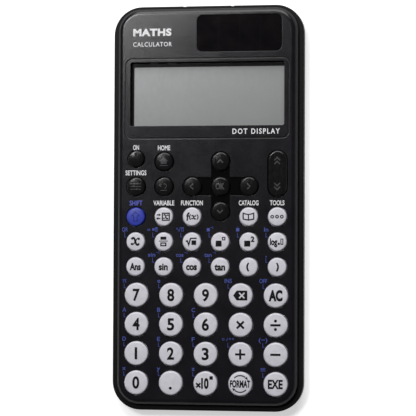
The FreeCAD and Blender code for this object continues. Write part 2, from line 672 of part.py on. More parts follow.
def make_page_key():
    """The page rocker: a long key that tips about its middle, lower flanged to leave it room."""
    body = new_body("key_page")
    flange_level = f"({FACE_UNDERSIDE} - rocker_drop - flange_thickness)"
    cap = new_sketch(body, "page_cap_outline", flange_level)
    draw_slot(cap, "0", "0", ROCKER_HALF, SMALL_RADIUS)
    pad(body, "page_cap", cap, f"{KEY_TOP} - {flange_level}")
    round_edges(body, "page_edge", "key_edge", lies_at(KEY_TOP))
    flange = new_sketch(body, "page_flange_outline", flange_level)
    draw_slot(flange, "0", "0", ROCKER_HALF, f"{SMALL_RADIUS} + flange_width")
    pad(body, "page_flange", flange, "flange_thickness")
    place_body(body, ROCKER_X, ROCKER_Y)
    return body


# ---------------------------------------------------------------------------
# Display, solar panel and electronics
# ---------------------------------------------------------------------------
def make_display_window():
    """The clear window over the display, fixed under the opening of the face."""
    body = new_body("display_window")
    outline = new_sketch(body, "window_outline", f"{FLANGE_TOP} - window_thickness")
    draw_rounded_box(outline, f"-{OPENING_SIDE} - window_lip", f"{OPENING_LOW} - window_lip",
                     f"{OPENING_SIDE} + window_lip", f"{OPENING_TOP} + window_lip",
                     "opening_corner + window_lip")
    pad(body, "window_plate", outline, "window_thickness")
    return body


def make_solar_panel():
    """The solar panel under its own clear face."""
    body = new_body("solar_panel")
    outline = new_sketch(body, "solar_outline", f"{FACE_LEVEL} - solar_inset - solar_thickness")
    draw_rounded_box(outline, f"{SOLAR_LEFT} + fit_gap", f"{SOLAR_LOW} + fit_gap",
                     f"{SOLAR_RIGHT} - fit_gap", f"{SOLAR_TOP} - fit_gap",
                     "solar_corner - fit_gap")
    pad(body, "solar_plate", outline, "solar_thickness")
    return body


def make_lcd_panel():
    """The liquid crystal display, on the board and behind the window."""
    body = new_body("lcd_panel")
    outline = new_sketch(body, "lcd_outline", BOARD_TOP)
    draw_box(outline, f"-{OPENING_SIDE} - lcd_lip", f"{OPENING_LOW} - lcd_lip",
             f"{OPENING_SIDE} + lcd_lip", f"{OPENING_TOP} - lcd_upper_inset")
    pad(body, "lcd_plate", outline, f"{FACE_UNDERSIDE} - lcd_gap - {BOARD_TOP}")
    return body


def make_circuit_board():
    """The main board, with the moulded chip on its underside and holes for the screw posts."""
    body = new_body("main_circuit_board")
    outline = new_sketch(body, "board_outline", BOARD_LEVEL)
    draw_rounded_box(outline, f"-{BOARD_SIDE}", BOARD_LOW_END, BOARD_SIDE, BOARD_TOP_END,
                     f"{FACE_CORNER} - skirt_thickness")
    pad(body, "board_plate", outline, "board_thickness")
    chip = new_sketch(body, "chip_outline", f"{BOARD_LEVEL} - chip_height")
    draw_circle(chip, "0", f"({DISPLAY_TOP} + {DISPLAY_LOW}) / 2", "chip_radius")
    pad(body, "chip", chip, "chip_height")
    holes = new_sketch(body, "board_hole_outline", BOARD_TOP)
    for x, y in BOARD_POSTS:
        draw_circle(holes, x, y, "post_radius + post_clearance")
    pocket(body, "board_holes", holes, "board_thickness", upwards=False)
    return body


def make_key_mat():
    """The rubber mat on the board, with one contact button under each key."""
    body = new_body("rubber_key_mat")
    outline = new_sketch(body, "mat_outline", BOARD_TOP)
    side = f"({BOARD_SIDE} - mat_inset)"
    top_end = f"({FIRST_ROW} + {SMALL_RADIUS} + power_key_drop + mat_border)"
    draw_rounded_box(outline, f"-{side}", f"{BOARD_LOW_END} + mat_inset", side, top_end,
                     f"{FACE_CORNER} - skirt_thickness - mat_inset")
    pad(body, "mat_sheet", outline, "mat_thickness")
    buttons = new_sketch(body, "mat_button_outline", MAT_TOP)
    for name, x, y, radius in ROUND_KEYS:
        draw_circle(buttons, x, y, "stem_radius + mat_border")
    for direction in (-1, 1):
        draw_circle(buttons, ROCKER_X, f"{ROCKER_Y} + {direction} * {ROCKER_HALF}",
                    "stem_radius + mat_border")
    pad(body, "mat_buttons", buttons, "mat_button_height")
    holes = new_sketch(body, "mat_hole_outline", MAT_TOP)
    for x, y in BOARD_POSTS:
        draw_circle(holes, x, y, "post_radius + post_clearance")
    pocket(body, "mat_holes", holes, "mat_thickness", upwards=False)
    return body


# ---------------------------------------------------------------------------
# Battery, screws and feet
# ---------------------------------------------------------------------------
def make_button_cell():
    """The button cell, its narrower cap towards the cover."""
    body = new_body("button_cell")
    can = new_sketch(body, "can_outline", f"{CELL_LEVEL} + cell_cap_height")
    draw_circle(can, CELL_X, COVER_Y, "cell_radius")
    pad(body, "can", can, "cell_height - cell_cap_height")
    cap = new_sketch(body, "cap_outline", CELL_LEVEL)
    draw_circle(cap, CELL_X, COVER_Y, "cell_cap_radius")
    pad(body, "cap", cap, "cell_cap_height")
    return body


def make_battery_contacts():
    """Two sprung strips from the board: one over the cell and one against its side."""
    body = new_body("battery_contacts")
    foot = f"{BOARD_TOP_END} + fit_gap"
    upright = f"({foot} + contact_thickness)"
    shelf = f"({BOARD_TOP} + contact_gap)"
    riser = f"({OPENING_TOP} + window_lip + contact_gap)"
    over = new_sketch(body, "upper_contact_outline", CELL_X, role="YZ_Plane")
    draw_polygon(over, [
        (foot, BOARD_LEVEL), (upright, BOARD_LEVEL), (upright, shelf),
        (f"{riser} + contact_thickness", shelf), (f"{riser} + contact_thickness", CELL_TOP),
        (COVER_Y, CELL_TOP), (COVER_Y, f"{CELL_TOP} + contact_thickness"),
        (riser, f"{CELL_TOP} + contact_thickness"), (riser, f"{shelf} + contact_thickness"),
        (foot, f"{shelf} + contact_thickness"),
    ])
    pad(body, "upper_contact", over, "contact_width", midplane=True)
    beside = new_sketch(body, "side_contact_outline", "foot_height + tray_height + fit_gap")
    plate = f"({CELL_X} + cell_radius + contact_thickness / 2)"
    draw_polygon(beside, [
        (plate, foot), (f"{plate} + contact_width", foot), (f"{plate} + contact_width", upright),
        (f"{plate} + contact_thickness", upright), (f"{plate} + contact_thickness", COVER_Y),
        (plate, COVER_Y),
    ])
    pad(body, "side_contact", beside, "contact_width")
    return body


def make_battery_cover():
    """The flush plate under the cell, with a countersunk seat for its one screw."""
    body = new_body("battery_cover")
    outline = new_sketch(body, "cover_outline", CASE_LEVEL)
    draw_rounded_box(outline, COVER_LEFT, COVER_LOW, COVER_RIGHT, COVER_TOP, "cover_corner")
    pad(body, "cover_plate", outline, "cover_thickness")
    recess = new_sketch(body, "cover_recess_outline", CASE_LEVEL)
    draw_circle(recess, COVER_SCREW_X, COVER_Y, "screw_head_radius + screw_clearance")
    pocket(body, "cover_recess", recess, "cover_thickness / 2", upwards=True)
    hole = new_sketch(body, "cover_hole_outline", CASE_LEVEL)
    draw_circle(hole, COVER_SCREW_X, COVER_Y, "screw_shank_radius + screw_clearance")
    pocket(body, "cover_hole", hole, "cover_thickness", upwards=True)
    return body


def make_screws(name, spots, head_level, head_height, length):
    """Cross-head screws, heads down, as separate solids in one piece."""
    body = new_body(name)
    heads = new_sketch(body, f"{name}_head_outline", head_level)
    for x, y in spots:
        draw_circle(heads, x, y, "screw_head_radius")
    pad(body, f"{name}_heads", heads, head_height)
    shanks = new_sketch(body, f"{name}_shank_outline", f"{head_level} + {head_height}")
    for x, y in spots:
        draw_circle(shanks, x, y, "screw_shank_radius")
    pad(body, f"{name}_shanks", shanks, length)
    for direction, long_way, short_way in (("level", 1, 0), ("upright", 0, 1)):
        slots = new_sketch(body, f"{name}_{direction}_slot_outline", head_level)
        half_x = f"(screw_shank_radius * {long_way} + drive_width * {short_way} / 2)"
        half_y = f"(screw_shank_radius * {short_way} + drive_width * {long_way} / 2)"
        for x, y in spots:
            draw_box(slots, f"{x} - {half_x}", f"{y} - {half_y}", f"{x} + {half_x}", f"{y} + {half_y}")
        pocket(body, f"{name}_{direction}_slots", slots, f"{head_height} * drive_depth", upwards=True)
    return body


def make_rubber_feet():
    """Four rubber feet, set into the floor of the rear shell."""
    body = new_body("rubber_feet")
    outline = new_sketch(body, "feet_outline", "0")
    for x, y in FOOT_SPOTS:
        draw_circle(outline, x, y, "foot_radius - fit_gap")
    pad(body, "feet", outline, "foot_height + foot_seat")
    round_edges(body, "feet_edge", "foot_edge", lies_at("0"))
    return body


# ---------------------------------------------------------------------------
# Assembly
# ---------------------------------------------------------------------------
pieces = [
    make_rear_shell(),
    make_front_shell(),
    make_display_window(),
    make_solar_panel(),
    make_lcd_panel(),
    make_circuit_board(),
    make_key_mat(),
    make_button_cell(),
    make_battery_contacts(),
    make_battery_cover(),
    make_screws("case_screws", CASE_POSTS, f"{CASE_LEVEL} + screw_recess - screw_head_height",
                "screw_head_height", "screw_length"),
    make_screws("battery_cover_screw", [(COVER_SCREW_X, COVER_Y)], CASE_LEVEL,
                "cover_thickness / 2", "tray_height"),
    make_rubber_feet(),
    make_page_key(),
]
for key in ROUND_KEYS:
    pieces.append(make_round_key(*key))
doc.recompute()

failed = [item.Name for item in doc.Objects if {"Invalid", "Error"} & set(item.State)]
if failed:
    raise RuntimeError(f"not built: {failed}")
for piece in pieces:
    if piece.Shape.isNull() or not piece.Shape.isValid():
        raise RuntimeError(f"{piece.Label} has no valid shape")

os.makedirs("parts", exist_ok=True)
for piece in pieces:
    piece.Shape.exportStep(f"parts/{piece.Label}.step")
print(f"{len(pieces)} pieces written")
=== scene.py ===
"""Looks of a scientific calculator: moulded shells, legends, display and studio, round its frame."""
import json
import math

import bmesh
import bpy
from mathutils import Matrix, Vector
from mathutils.bvhtree import BVHTree


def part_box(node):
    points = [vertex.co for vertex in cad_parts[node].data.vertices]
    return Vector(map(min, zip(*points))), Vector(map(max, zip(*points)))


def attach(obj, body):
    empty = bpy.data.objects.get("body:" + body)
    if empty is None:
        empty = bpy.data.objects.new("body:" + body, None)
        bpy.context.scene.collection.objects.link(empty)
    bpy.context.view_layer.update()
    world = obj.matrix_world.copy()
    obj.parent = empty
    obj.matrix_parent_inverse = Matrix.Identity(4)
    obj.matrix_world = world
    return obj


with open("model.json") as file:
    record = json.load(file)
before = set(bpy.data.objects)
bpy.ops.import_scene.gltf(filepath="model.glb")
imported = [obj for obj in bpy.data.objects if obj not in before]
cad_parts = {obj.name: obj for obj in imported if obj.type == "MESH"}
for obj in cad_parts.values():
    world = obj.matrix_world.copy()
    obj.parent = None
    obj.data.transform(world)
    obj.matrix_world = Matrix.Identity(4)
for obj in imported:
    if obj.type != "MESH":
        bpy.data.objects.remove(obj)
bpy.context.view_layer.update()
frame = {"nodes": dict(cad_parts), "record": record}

MM = 0.001
INK = 0.012 * MM             # how far printed ink stands above its surface
INK_ROOT = 0.03 * MM         # and how far it is sunk into it
MOULD_RADIUS = 0.14          # radius, in millimetres, that a mould leaves on sharp corners
LCD_DOT = 0.32               # pitch of the display's dots, in millimetres
LCD_DOT_GAP = 0.14           # share of the pitch between two dots
SOLAR_CELLS = 4.0            # strips that the solar panel is divided into
BODIES = {}                  # the body that each node rides on
for body_name, node_names in frame["record"]["behaviour"]["bodies"].items():
    for node_name in node_names:
        BODIES[node_name] = body_name


# ---------------------------------------------------------------------------
# Node materials
# ---------------------------------------------------------------------------
class Nodes:
    """A material's node tree, with short ways to add and join nodes."""

    def __init__(self, name):
        self.material = bpy.data.materials.new(name)
        self.material.use_nodes = True
        self.tree = self.material.node_tree
        self.shader = self.tree.nodes["Principled BSDF"]
        self.place = self.tree.nodes.new("ShaderNodeTexCoord").outputs["Object"]

    def join(self, source, target):
        """Joins an output, or sets a plain number or colour."""
        if hasattr(source, "is_output"):
            self.tree.links.new(source, target)
        else:
            target.default_value = source

    def noise(self, size_mm, detail=2.0, roughness=0.5, stretch=None):
        """Noise whose features are about size_mm across."""
        node = self.tree.nodes.new("ShaderNodeTexNoise")
        place = self.place
        if stretch:
            mapping = self.tree.nodes.new("ShaderNodeMapping")
            mapping.inputs["Scale"].default_value = stretch
            self.join(self.place, mapping.inputs["Vector"])
            place = mapping.outputs["Vector"]
        self.join(place, node.inputs["Vector"])
        node.inputs["Scale"].default_value = 1.0 / (size_mm * MM)
        node.inputs["Detail"].default_value = detail
        node.inputs["Roughness"].default_value = roughness
        return node.outputs["Fac"]

    def level(self, source, low, high, start=0.3, end=0.7):
        """Spreads a value between two numbers."""
        node = self.tree.nodes.new("ShaderNodeMapRange")
        self.join(source, node.inputs["Value"])
        for name, number in zip(("From Min", "From Max", "To Min", "To Max"), (start, end, low, high)):
            node.inputs[name].default_value = number
        return node.outputs["Result"]

    def mix(self, factor, first, second):
        """Two colours mixed by a factor."""
        node = self.tree.nodes.new("ShaderNodeMix")
        node.data_type = "RGBA"
        self.join(factor, node.inputs[0])
        self.join(first, node.inputs[6])
        self.join(second, node.inputs[7])
        return node.outputs[2]

    def maths(self, operation, first, second=0.0):
        """One arithmetic step."""
        node = self.tree.nodes.new("ShaderNodeMath")
        node.operation = operation
        self.join(first, node.inputs[0])
        self.join(second, node.inputs[1])
        return node.outputs[0]

    def bump(self, source, depth_mm, below=None):
        """A bump of the given depth, on top of another where one is given."""
        node = self.tree.nodes.new("ShaderNodeBump")
        node.inputs["Strength"].default_value = 1.0
        node.inputs["Distance"].default_value = depth_mm * MM
        self.join(source, node.inputs["Height"])
        if below:
            self.join(below, node.inputs["Normal"])
        return node.outputs["Normal"]

    def soft_edge(self, radius_mm):
        """Surface direction with corners rounded to a radius, as a mould leaves them."""
        node = self.tree.nodes.new("ShaderNodeBevel")
        node.samples = 6
        node.inputs["Radius"].default_value = radius_mm * MM
        return node.outputs["Normal"]

    def axis(self, name):
        """One coordinate of the surface point, in metres."""
        node = self.tree.nodes.new("ShaderNodeSeparateXYZ")
        self.join(self.place, node.inputs[0])
        return node.outputs[name]

    def finish(self, colour, roughness, normal=None, **constants):
        """Fills the shader; constants are shader sockets that are the same all over."""
        self.join(colour, self.shader.inputs["Base Color"])
        self.join(roughness, self.shader.inputs["Roughness"])
        if normal is not None:
            self.join(normal, self.shader.inputs["Normal"])
        for name, number in constants.items():
            self.shader.inputs[name.replace("_", " ")].default_value = number
        return self.material


def grained_plastic(name, dark, light, roughness, grain_mm, grain_depth_mm, **constants):
    """Moulded plastic with a spark-eroded grain and slight mottling."""
    nodes = Nodes(name)
    grain = nodes.noise(grain_mm, 3.0, 0.6)
    mottle = nodes.noise(9.0, 3.0)
    colour = nodes.mix(nodes.level(mottle, 0.0, 1.0), dark, light)
    speckle = nodes.level(grain, -0.06, 0.06)
    rough = nodes.maths("ADD", nodes.level(mottle, roughness - 0.03, roughness + 0.03), speckle)
    normal = nodes.bump(grain, grain_depth_mm, below=nodes.soft_edge(MOULD_RADIUS))
    return nodes.finish(colour, rough, normal, **constants)


def front_plastic():
    """Grained plastic of the face: polished and darker in the cursor cross, rougher down the side walls."""
    nodes = Nodes("front_shell_plastic")
    grain = nodes.noise(0.44, 3.0, 0.62)
    mottle = nodes.noise(9.0, 3.0)
    dark, light = (0.0060, 0.0052, 0.0074, 1), (0.0086, 0.0076, 0.0104, 1)
    colour = nodes.mix(nodes.level(mottle, 0.0, 1.0), dark, light)

    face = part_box("front_shell")[1].z
    cross_floor, cross_edge = face - 0.6 * MM, face - 0.25 * MM
    inside = nodes.level(nodes.axis("Z"), 1.0, 0.0, cross_floor, cross_edge)
    low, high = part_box("key_left")[0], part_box("key_right")[1]
    for axis, start, end in (("X", low.x, high.x), ("Y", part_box("key_down")[0].y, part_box("key_up")[1].y)):
        for edge, way in ((start, 1), (end, -1)):
            past = nodes.maths("MULTIPLY", nodes.maths("SUBTRACT", nodes.axis(axis), edge), way)
            inside = nodes.maths("MULTIPLY", inside, nodes.maths("GREATER_THAN", past, 0.0))
    colour = nodes.mix(inside, colour, (0.0016, 0.0016, 0.0018, 1))

    rough = nodes.maths("ADD", nodes.level(mottle, 0.175, 0.215), nodes.level(grain, -0.05, 0.05))
    cross_polish = -0.14
    rough = nodes.maths("ADD", rough, nodes.maths("MULTIPLY", inside, cross_polish))
    wall_low, wall_high = face - 0.9 * MM, face - 0.2 * MM
    wall = nodes.level(nodes.axis("Z"), 0.50, 0.0, wall_low, wall_high)
    wall = nodes.maths("MULTIPLY", wall, nodes.maths("SUBTRACT", 1.0, inside))
    rough = nodes.maths("ADD", rough, wall)
    normal = nodes.bump(grain, 0.022, below=nodes.soft_edge(MOULD_RADIUS))
    return nodes.finish(colour, rough, normal, Specular_IOR_Level=0.4)


def key_plastic(name, dark, light, roughness, **constants):
    """Smooth key plastic with faint mottling, dust-fine bump and scuffs from use."""
    nodes = Nodes(name)
    cloud = nodes.noise(2.2, 3.0)
    fine = nodes.noise(0.16, 2.0)
    scuffs = nodes.noise(0.5, 2.0, 0.7, stretch=(1.0, 0.18, 1.0))
    colour = nodes.mix(nodes.level(cloud, 0.0, 1.0), dark, light)
    rough = nodes.maths("ADD", nodes.level(scuffs, roughness - 0.05, roughness + 0.06),
                        nodes.level(fine, -0.03, 0.03))
    normal = nodes.bump(fine, 0.004, below=nodes.bump(cloud, 0.01))
    return nodes.finish(colour, rough, normal, **constants)


def ink(name, dark, light, roughness=0.55):
    """Printed ink, uneven as pad print is."""
    nodes = Nodes(name)
    patch = nodes.noise(0.35, 3.0)
    colour = nodes.mix(nodes.level(patch, 0.0, 1.0), dark, light)
    return nodes.finish(colour, nodes.level(patch, roughness - 0.06, roughness + 0.06),
                        nodes.bump(patch, 0.003), Specular_IOR_Level=0.15)


def display_glass():
    """Reflective liquid crystal glass: light grey with painted light and shade across it, a brushed reflector
    and a faint grid of dots.
    """
    nodes = Nodes("lcd_glass")
    brushed = nodes.noise(1.1, 4.0, 0.65, stretch=(1.0, 0.35, 1.0))
    cloud = nodes.noise(16.0, 2.0)
    # painted light and shade: the base colour is lighter towards the top and darker towards the bottom, as
    # the lamps' light falls across the display
    painted_shade_y, painted_light_y = 32 * MM, 58 * MM
    rise = nodes.level(nodes.axis("Y"), 0.0, 1.0, painted_shade_y, painted_light_y)
    base = nodes.mix(rise, (0.45, 0.457, 0.457, 1), (0.71, 0.717, 0.725, 1))
    # painted shade: the base colour is also darker towards the right
    painted_shade_half_width = 30 * MM
    across = nodes.level(nodes.axis("X"), 0.0, 0.6, -painted_shade_half_width, painted_shade_half_width)
    base = nodes.mix(across, base, (0.36, 0.367, 0.367, 1))
    soft = nodes.mix(nodes.level(cloud, 0.0, 0.25), base, (0.55, 0.557, 0.557, 1))
    colour = nodes.mix(nodes.level(brushed, 0.0, 0.28), soft, (0.38, 0.387, 0.394, 1))
    dots = []
    for axis in ("X", "Y"):
        cell = nodes.maths("FRACT", nodes.maths("MULTIPLY", nodes.axis(axis), 1.0 / (LCD_DOT * MM)))
        dots.append(nodes.maths("GREATER_THAN", cell, LCD_DOT_GAP))
    grid = nodes.maths("MULTIPLY", dots[0], dots[1])
    colour = nodes.mix(nodes.maths("MULTIPLY", grid, 0.06), colour, (0.20, 0.215, 0.21, 1))
    return nodes.finish(colour, nodes.level(brushed, 0.30, 0.42), nodes.bump(brushed, 0.004))


def clear_window():
    """Thin clear plastic: almost no body colour, a coated surface with the faintest orange peel."""
    nodes = Nodes("window_clear")
    peel = nodes.noise(3.0, 2.0)
    tint = nodes.mix(nodes.level(peel, 0.0, 1.0), (0.010, 0.010, 0.010, 1), (0.016, 0.016, 0.016, 1))
    return nodes.finish(tint, nodes.level(peel, 0.10, 0.16), nodes.bump(peel, 0.002), Alpha=0.12)


def solar_cells():
    """Dark amorphous cells with fine divisions, under a gloss face."""
    nodes = Nodes("solar_cells")
    cloud = nodes.noise(6.0, 3.0)
    dark, light = (0.0030, 0.0026, 0.0034, 1), (0.0056, 0.0040, 0.0048, 1)
    colour = nodes.mix(nodes.level(cloud, 0.0, 1.0), dark, light)
    left, right = (corner.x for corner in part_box("solar_panel"))
    along = nodes.maths("SUBTRACT", nodes.axis("X"), left)
    strip = nodes.maths("MULTIPLY", along, SOLAR_CELLS / (right - left))
    seam = nodes.maths("LESS_THAN", nodes.maths("FRACT", strip), 0.022)
    colour = nodes.mix(nodes.maths("MULTIPLY", seam, 0.7), colour, (0.0095, 0.0085, 0.0085, 1))
    rough = nodes.level(cloud, 0.06, 0.10)
    return nodes.finish(colour, rough, nodes.bump(cloud, 0.004), Specular_IOR_Level=0.3)


def metal(name, dark, light, roughness):
    """Metal with fine tool marks and some staining."""
    nodes = Nodes(name)
    marks = nodes.noise(0.25, 3.0, 0.7, stretch=(1.0, 0.12, 1.0))
    stain = nodes.noise(2.5, 3.0)
    colour = nodes.mix(nodes.level(stain, 0.0, 1.0), dark, light)
    return nodes.finish(colour, nodes.level(marks, roughness - 0.08, roughness + 0.1),
                        nodes.bump(marks, 0.006), Metallic=1.0)


def rubber():
    """Dull moulded rubber, with bloom and lint-fine unevenness."""
    nodes = Nodes("rubber_dark")
    fine = nodes.noise(0.12, 3.0, 0.6)
    bloom = nodes.noise(3.0, 4.0)
    colour = nodes.mix(nodes.level(bloom, 0.0, 1.0), (0.010, 0.010, 0.011, 1), (0.026, 0.026, 0.026, 1))
    return nodes.finish(colour, nodes.level(bloom, 0.72, 0.86), nodes.bump(fine, 0.02))


def circuit_board():
    """Green solder mask over faint copper tracks."""
    nodes = Nodes("circuit_board")
    tracks = nodes.noise(1.6, 0.0, 0.5, stretch=(1.0, 0.15, 1.0))
    cloud = nodes.noise(8.0, 2.0)
    base = nodes.mix(nodes.level(cloud, 0.0, 1.0), (0.008, 0.07, 0.028, 1), (0.012, 0.10, 0.04, 1))
    colour = nodes.mix(nodes.level(tracks, 0.0, 1.0, 0.49, 0.51), base, (0.03, 0.16, 0.06, 1))
    return nodes.finish(colour, nodes.level(cloud, 0.28, 0.4), nodes.bump(tracks, 0.03))


FRONT = front_plastic()
REAR = grained_plastic("rear_shell_plastic", (0.0036, 0.0037, 0.0040, 1), (0.0058, 0.0058, 0.0062, 1),
                       0.50, 0.30, 0.010, Specular_IOR_Level=0.12)
WHITE = key_plastic("white_key_plastic", (0.61, 0.595, 0.655, 1), (0.69, 0.675, 0.73, 1), 0.42)
DARK = key_plastic("dark_key_plastic", (0.0044, 0.0044, 0.0048, 1), (0.0066, 0.0065, 0.0070, 1),
                   0.15, Specular_IOR_Level=0.4)
BLUE = key_plastic("blue_key_plastic", (0.022, 0.038, 0.33, 1), (0.032, 0.052, 0.42, 1),
                   0.34, Specular_IOR_Level=0.4)
BLACK_INK = ink("black_ink", (0.0022, 0.0022, 0.0026, 1), (0.0050, 0.0050, 0.0054, 1), 0.5)
WHITE_INK = ink("white_ink", (0.78, 0.78, 0.80, 1), (0.92, 0.92, 0.93, 1))
BLUE_INK = ink("blue_ink", (0.050, 0.075, 0.30, 1), (0.080, 0.110, 0.40, 1))
LABEL_BLUE_INK = ink("label_blue_ink", (0.095, 0.11, 0.46, 1), (0.14, 0.16, 0.60, 1))
SHIFT_INK = ink("shift_ink", (0.012, 0.020, 0.16, 1), (0.018, 0.028, 0.21, 1), 0.35)
# the display's black band, in the ink look; it is much wider at the left and top edges than at the right and
# bottom
MASK = ink("display_black_band_look", (0.0022, 0.0022, 0.0024, 1), (0.004, 0.004, 0.0042, 1), 0.5)
STEEL = metal("plain_steel", (0.50, 0.49, 0.47, 1), (0.62, 0.61, 0.59, 1), 0.34)
SCREW = metal("black_screw_steel", (0.035, 0.035, 0.037, 1), (0.07, 0.07, 0.072, 1), 0.42)

NODE_LOOKS = {
    "front_shell": FRONT,
    "rear_shell": REAR,
    "battery_cover": REAR,
    "display_window": clear_window(),
    "lcd_panel": display_glass(),
    "solar_panel": solar_cells(),
    "main_circuit_board": circuit_board(),
    "rubber_key_mat": rubber(),
    "button_cell": STEEL,
    "battery_contacts": STEEL,
    "battery_cover_screw": SCREW,
    "case_screws": SCREW,
}
NODE_LOOKS["rubber_feet"] = NODE_LOOKS["rubber_key_mat"]
DARK_KEYS = ["power", "home", "settings", "back", "up", "left", "ok", "right", "down", "page"]

for name, node in frame["nodes"].items():
    if name.startswith("key_"):
        short = name[4:]
        look = DARK if short in DARK_KEYS else BLUE if short == "shift" else WHITE
    else:
        look = NODE_LOOKS[name]
    node.data.materials.clear()
    node.data.materials.append(look)


# ---------------------------------------------------------------------------
# Flat artwork: printed legends and raised marks as thin closed solids
# ---------------------------------------------------------------------------
def text_mesh(words, bold=0.0, shear=0.0, spacing=1.0):
    """A mesh of the words in the built-in typeface at size 1."""
    curve = bpy.data.curves.new("legend_text", "FONT")
    curve.body = words
    curve.offset = bold
    curve.shear = shear
    curve.space_character = spacing
    curve.resolution_u = 4
    holder = bpy.data.objects.new("legend_text", curve)
    bpy.context.collection.objects.link(holder)
    bpy.context.view_layer.update()
    mesh = bpy.data.meshes.new_from_object(holder.evaluated_get(bpy.context.evaluated_depsgraph_get()))
    bpy.data.objects.remove(holder)
    bpy.data.curves.remove(curve)
    return mesh


def outline_of(mesh):
    """Lowest and highest x and y of a mesh."""
    xs = [vertex.co.x for vertex in mesh.vertices]
    ys = [vertex.co.y for vertex in mesh.vertices]
    return min(xs), max(xs), min(ys), max(ys)


DRAPE_STEP = 0.6             # largest face of artwork on a crowned key, in millimetres
CAP_LOW, CAP_HIGH = outline_of(text_mesh("H"))[2:]
CAP_HEIGHT = CAP_HIGH - CAP_LOW


def cross_outline(x, y, reach, half, turn):
    """Outline of two equal crossed bars about x, y, turned by an angle in degrees."""
    points = []
    for quarter in range(4):
        angle = math.radians(turn + 90 * quarter)
        along = Vector((math.cos(angle), math.sin(angle)))
        across = Vector((-along.y, along.x))
        points.append(along * reach - across * half)
        points.append(along * reach + across * half)
        points.append(along * half + across * half)
    return [(x + point.x, y + point.y) for point in points]


class Artwork:
    """Flat shapes in millimetres about a point, raised to one thin mesh on a surface."""

    def __init__(self, name, centre, level, look, body, up=INK, down=INK_ROOT, underneath=False, on=None):
        self.name = name
        self.centre = Vector(centre)
        self.level = level
        self.look = look
        self.body = body
        self.up = up
        self.down = down
        self.underneath = underneath
        self.on = on
        self.mesh = bmesh.new()

    def prism(self, rows):
        """Raises faces, each a list of flat points in millimetres, that share one outline."""
        flat = bmesh.new()
        for face in rows:
            flat.faces.new([flat.verts.new((x, y, 0.0)) for x, y in face])
        bmesh.ops.remove_doubles(flat, verts=flat.verts, dist=1e-5)
        self.raise_flat(flat)

    def raise_flat(self, flat):
        """Turns a flat mesh in millimetres into a closed solid between the two ink levels."""
        if self.on:
            self.divide(flat)
        flat.normal_update()
        for face in flat.faces:
            if face.normal.z < 0:
                face.normal_flip()
        tops = list(flat.faces)
        rims = []
        for face in tops:
            rims += [(loop.vert, loop.link_loop_next.vert) for loop in face.loops if loop.edge.is_boundary]
        sunk = {}
        for vertex in list(flat.verts):
            sunk[vertex] = flat.verts.new((vertex.co.x, vertex.co.y, -self.down / MM))
            vertex.co.z = self.up / MM
        for face in tops:
            flat.faces.new([sunk[vertex] for vertex in reversed(face.verts)])
        for first, second in rims:
            flat.faces.new((second, first, sunk[first], sunk[second]))
        for face in flat.faces:
            face.smooth = False
        part = bpy.data.meshes.new("part")
        flat.to_mesh(part)
        flat.free()
        self.mesh.from_mesh(part)
        bpy.data.meshes.remove(part)

    def divide(self, flat):
        """Cuts a flat mesh into a fine grid, so that it can follow a crowned surface."""
        bmesh.ops.triangulate(flat, faces=flat.faces[:])
        for axis in (0, 1):
            places = [vertex.co[axis] for vertex in flat.verts]
            normal = Vector((1 - axis, axis, 0))
            first = math.ceil(min(places) / DRAPE_STEP)
            last = math.floor(max(places) / DRAPE_STEP)
            for line in range(first, last + 1):
                everything = flat.verts[:] + flat.edges[:] + flat.faces[:]
                bmesh.ops.bisect_plane(flat, geom=everything, dist=1e-4, plane_no=normal,
                                       plane_co=normal * line * DRAPE_STEP)

    def polygon(self, points):
        """A filled outline."""
        self.prism([points])

    def box(self, x, y, width, height):
        """A filled rectangle about x, y."""
        a, b = width / 2, height / 2
        self.polygon([(x - a, y - b), (x + a, y - b), (x + a, y + b), (x - a, y + b)])

    def frame(self, x, y, width, height, stroke):
        """A rectangular outline whose outer size is width by height."""
        a, b = width / 2 - stroke / 2, height / 2 - stroke / 2
        corners = [(x - a, y - b), (x + a, y - b), (x + a, y + b), (x - a, y + b)]
        self.line(corners, stroke, closed=True)

    def disc(self, x, y, radius, steps=28):
        """A filled circle."""
        turns = [2 * math.pi * i / steps for i in range(steps)]
        self.polygon([(x + radius * math.cos(a), y + radius * math.sin(a)) for a in turns])

    def ring(self, x, y, radius, stroke, steps=32):
        """A circular outline."""
        turns = [2 * math.pi * i / steps for i in range(steps)]
        points = [(x + radius * math.cos(a), y + radius * math.sin(a)) for a in turns]
        self.line(points, stroke, closed=True)

    def arc(self, x, y, radius, start, end, stroke, steps=16):
        """Part of a circle, between two angles in degrees."""
        angles = [math.radians(start + (end - start) * i / steps) for i in range(steps + 1)]
        self.line([(x + radius * math.cos(a), y + radius * math.sin(a)) for a in angles], stroke)

    def line(self, points, stroke, closed=False):
        """A stroke of even width along straight runs with mitred corners."""
        path = [Vector(point) for point in points]
        count = len(path)
        sides = []
        for i, point in enumerate(path):
            before = path[i - 1] if closed or i else None
            after = path[(i + 1) % count] if closed or i < count - 1 else None
            ways = []
            if before is not None:
                ways.append((point - before).normalized())
            if after is not None:
                ways.append((after - point).normalized())
            mean = sum(ways, Vector((0, 0))).normalized()
            normal = Vector((-mean.y, mean.x))
            square = Vector((-ways[0].y, ways[0].x))
            reach = stroke / 2 / max(normal.dot(square), 0.35)
            sides.append((point + normal * reach, point - normal * reach))
        last = count if closed else count - 1
        quads = []
        for i in range(last):
            a, b = sides[i], sides[(i + 1) % count]
            quads.append([tuple(a[0]), tuple(a[1]), tuple(b[1]), tuple(b[0])])
        self.prism(quads)

    def sweep(self, controls, stroke, steps=8):
        """A stroke along one or more cubic curves, each from the end of the one before."""
        path = [Vector(controls[0])]
        for start in range(0, len(controls) - 1, 3):
            a, b, c, d = (Vector(point) for point in controls[start:start + 4])
            for i in range(1, steps + 1):
                k = i / steps
                near_start = a * (1 - k) ** 3 + b * 3 * k * (1 - k) ** 2
                path.append(near_start + c * 3 * k * k * (1 - k) + d * k ** 3)
        self.line(path, stroke)

